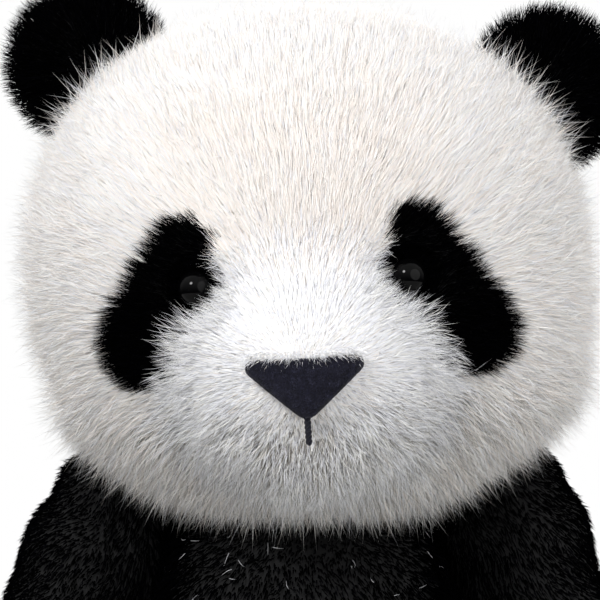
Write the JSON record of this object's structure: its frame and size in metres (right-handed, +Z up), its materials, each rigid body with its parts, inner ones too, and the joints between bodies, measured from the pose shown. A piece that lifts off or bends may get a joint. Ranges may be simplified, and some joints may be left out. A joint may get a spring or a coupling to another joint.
{
  "type": "plush panda",
  "caption": "Sitting plush panda with long black and white pile, a big round head, and a head, arms and legs that turn on hidden disc joints.",
  "frame": {"origin": "on the surface it sits on, under the middle of its box", "axes": "+Z up, the panda faces -Y, its own left is +X"},
  "size_m": [0.2484, 0.225, 0.3973],
  "materials": {
    "white_pile": "matte",
    "black_pile": "matte",
    "suede": "matte",
    "eye_plastic": "gloss",
    "nose_felt": "matte",
    "thread": "satin",
    "fibre_filling": "matte",
    "pellet_bag": "matte",
    "label_tape": "satin",
    "joint_plastic": "satin"
  },
  "bodies": {
    "torso": {"yoke_front": "black_pile", "yoke_back": "black_pile", "belly_panel": "white_pile", "back_left": "white_pile", "back_right": "white_pile", "seat_panel": "white_pile", "tail": "white_pile", "sewn_label": "label_tape", "torso_filling": "fibre_filling", "pellet_bag": "pellet_bag", "neck_washer": "joint_plastic", "shoulder_washer_left": "joint_plastic", "shoulder_washer_right": "joint_plastic", "hip_washer_left": "joint_plastic", "hip_washer_right": "joint_plastic"},
    "head": {"head_gusset": "white_pile", "head_side_left": "white_pile", "head_side_right": "white_pile", "chin_panel": "white_pile", "muzzle_cover": "white_pile", "eye_patch_left": "black_pile", "eye_patch_right": "black_pile", "ear_front_left": "black_pile", "ear_front_right": "black_pile", "ear_back_left": "black_pile", "ear_back_right": "black_pile", "eye_left": "eye_plastic", "eye_right": "eye_plastic", "eye_washer_left": "joint_plastic", "eye_washer_right": "joint_plastic", "nose": "nose_felt", "mouth_stitch": "thread", "head_filling": "fibre_filling", "neck_disc": "joint_plastic", "neck_lock": "joint_plastic"},
    "arm_left": {"arm_outer_left": "black_pile", "arm_inner_left": "black_pile", "paw_pad_left": "suede", "arm_filling_left": "fibre_filling", "shoulder_disc_left": "joint_plastic", "shoulder_lock_left": "joint_plastic"},
    "arm_right": {"arm_outer_right": "black_pile", "arm_inner_right": "black_pile", "paw_pad_right": "suede", "arm_filling_right": "fibre_filling", "shoulder_disc_right": "joint_plastic", "shoulder_lock_right": "joint_plastic"},
    "leg_left": {"leg_outer_left": "black_pile", "leg_inner_left": "black_pile", "sole_pad_left": "suede", "leg_filling_left": "fibre_filling", "hip_disc_left": "joint_plastic", "hip_lock_left": "joint_plastic"},
    "leg_right": {"leg_outer_right": "black_pile", "leg_inner_right": "black_pile", "sole_pad_right": "suede", "leg_filling_right": "fibre_filling", "hip_disc_right": "joint_plastic", "hip_lock_right": "joint_plastic"}
  },
  "joints": [
    {"name": "neck_turn", "type": "hinge", "parent": "torso", "child": "head", "pos_m": [0, 0.0065, 0.21238], "axis": [0, 0, 1], "continuous": true},
    {"name": "shoulder_left", "type": "hinge", "parent": "torso", "child": "arm_left", "pos_m": [0.0508, 0.0145, 0.18089], "axis": [-0.9789, 0, -0.2045], "range_deg": [-50, 70]},
    {"name": "shoulder_right", "type": "hinge", "parent": "torso", "child": "arm_right", "pos_m": [-0.0508, 0.0145, 0.18089], "axis": [-0.9789, 0, 0.2045], "range_deg": [-50, 70]},
    {"name": "hip_left", "type": "hinge", "parent": "torso", "child": "leg_left", "pos_m": [0.0505, 0.01833, 0.037], "axis": [0.9848, 0.1736, 0], "range_deg": [0, 90]},
    {"name": "hip_right", "type": "hinge", "parent": "torso", "child": "leg_right", "pos_m": [-0.0505, 0.01833, 0.037], "axis": [0.9848, -0.1736, 0], "range_deg": [0, 90]}
  ]
}
